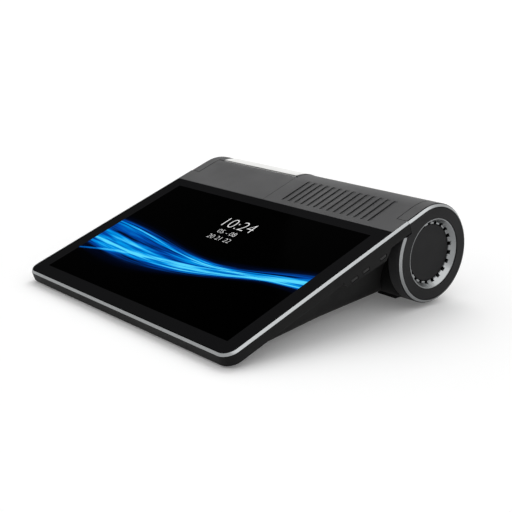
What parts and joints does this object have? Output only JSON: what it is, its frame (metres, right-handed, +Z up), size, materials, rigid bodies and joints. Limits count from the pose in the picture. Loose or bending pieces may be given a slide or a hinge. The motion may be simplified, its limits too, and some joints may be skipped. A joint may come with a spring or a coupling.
{
  "type": "card payment terminal",
  "caption": "Countertop card payment terminal: a slim tilted touch display running into a rear drum with a receipt printer, a vent grille and round end caps.",
  "frame": {"origin": "on the table under the middle of the terminal's box", "axes": "+X to the user's right along the drum, +Y to the rear, +Z up"},
  "size_m": [0.2174, 0.2004, 0.0672],
  "materials": {
    "black_glass": "polished, opaque black",
    "panel": "satin",
    "silver_trim": "satin",
    "case_plastic": "fine moulded texture",
    "key_plastic": "satin moulded",
    "base_plastic": "fine moulded texture",
    "cover_plastic": "fine moulded texture",
    "cap_plastic": "fine moulded texture",
    "reader_plastic": "moulded",
    "steel": "bright",
    "gear_plastic": "moulded",
    "brass": "bright",
    "paper": "thermal paper, matt",
    "head_plate": "matt",
    "board": "solder mask",
    "foot_rubber": "matt",
    "battery_wrap": "smooth film"
  },
  "bodies": {
    "case": {"cover_glass": "black_glass", "display_panel": "panel", "slab_trim": "silver_trim", "display_tray": "case_plastic", "card_slot_bezel": "base_plastic", "card_reader": "reader_plastic", "drum_shell": "case_plastic", "left_cover": "cover_plastic", "vent_cover": "cover_plastic", "end_cap_left": "cap_plastic", "end_cap_right": "cap_plastic", "end_trim_left": "silver_trim", "end_trim_right": "silver_trim", "end_ring_left": "silver_trim", "end_ring_right": "silver_trim", "speaker_disc_left": "cap_plastic", "speaker_disc_right": "cap_plastic", "speaker_left": "steel", "speaker_right": "steel", "lid_hinge_pin": "steel", "paper_web": "paper", "printer_frame": "base_plastic", "print_head": "head_plate", "head_spring_1": "steel", "head_spring_2": "steel", "print_motor": "steel", "tear_bar": "steel", "power_inlet": "steel", "data_socket": "steel", "socket_board": "board", "contactless_antenna": "brass", "base_shell": "base_plastic", "base_screw_1": "steel", "base_screw_2": "steel", "base_screw_3": "steel", "base_screw_4": "steel", "front_foot_left": "foot_rubber", "rear_foot_left": "foot_rubber", "front_foot_right": "foot_rubber", "rear_foot_right": "foot_rubber", "main_board": "board", "shield_can": "steel", "battery_pack": "battery_wrap"},
    "lid": {"printer_lid": "cover_plastic", "receipt_slip": "paper"},
    "platen": {"platen_roller": "foot_rubber", "platen_shaft": "steel", "platen_gear": "gear_plastic"},
    "idler": {"idler_gear": "gear_plastic"},
    "pinion": {"motor_pinion": "brass"},
    "roll": {"paper_roll": "paper", "roll_core": "gear_plastic"},
    "power_button": {"power_key": "key_plastic"},
    "volume_up_button": {"volume_up_key": "key_plastic"},
    "volume_down_button": {"volume_down_key": "key_plastic"}
  },
  "joints": [
    {"name": "lid_hinge", "type": "hinge", "parent": "case", "child": "lid", "pos_m": [-0.05495, 0.09699, 0.02686], "axis": [-1, 0, 0], "range_deg": [0, 70]},
    {"name": "platen_spin", "type": "hinge", "parent": "lid", "child": "platen", "pos_m": [-0.05305, 0.06726, 0.05899], "axis": [1, 0, 0], "continuous": true},
    {"name": "idler_spin", "type": "hinge", "parent": "case", "child": "idler", "pos_m": [-0.0958, 0.05655, 0.05418], "axis": [1, 0, 0], "continuous": true},
    {"name": "pinion_spin", "type": "hinge", "parent": "case", "child": "pinion", "pos_m": [-0.0958, 0.04811, 0.0504], "axis": [1, 0, 0], "continuous": true},
    {"name": "roll_spin", "type": "hinge", "parent": "case", "child": "roll", "pos_m": [-0.05305, 0.06811, 0.0273], "axis": [1, 0, 0], "continuous": true},
    {"name": "power_press", "type": "slide", "parent": "case", "child": "power_button", "axis": [-1, 0, 0], "range_m": [0, 0.0005]},
    {"name": "volume_up_press", "type": "slide", "parent": "case", "child": "volume_up_button", "axis": [-1, 0, 0], "range_m": [0, 0.0005]},
    {"name": "volume_down_press", "type": "slide", "parent": "case", "child": "volume_down_button", "axis": [-1, 0, 0], "range_m": [0, 0.0005]}
  ],
  "couplings": [
    {"joint": "idler_spin", "follows": "platen_spin", "ratio": -0.88},
    {"joint": "pinion_spin", "follows": "platen_spin", "ratio": 1.8333}
  ]
}
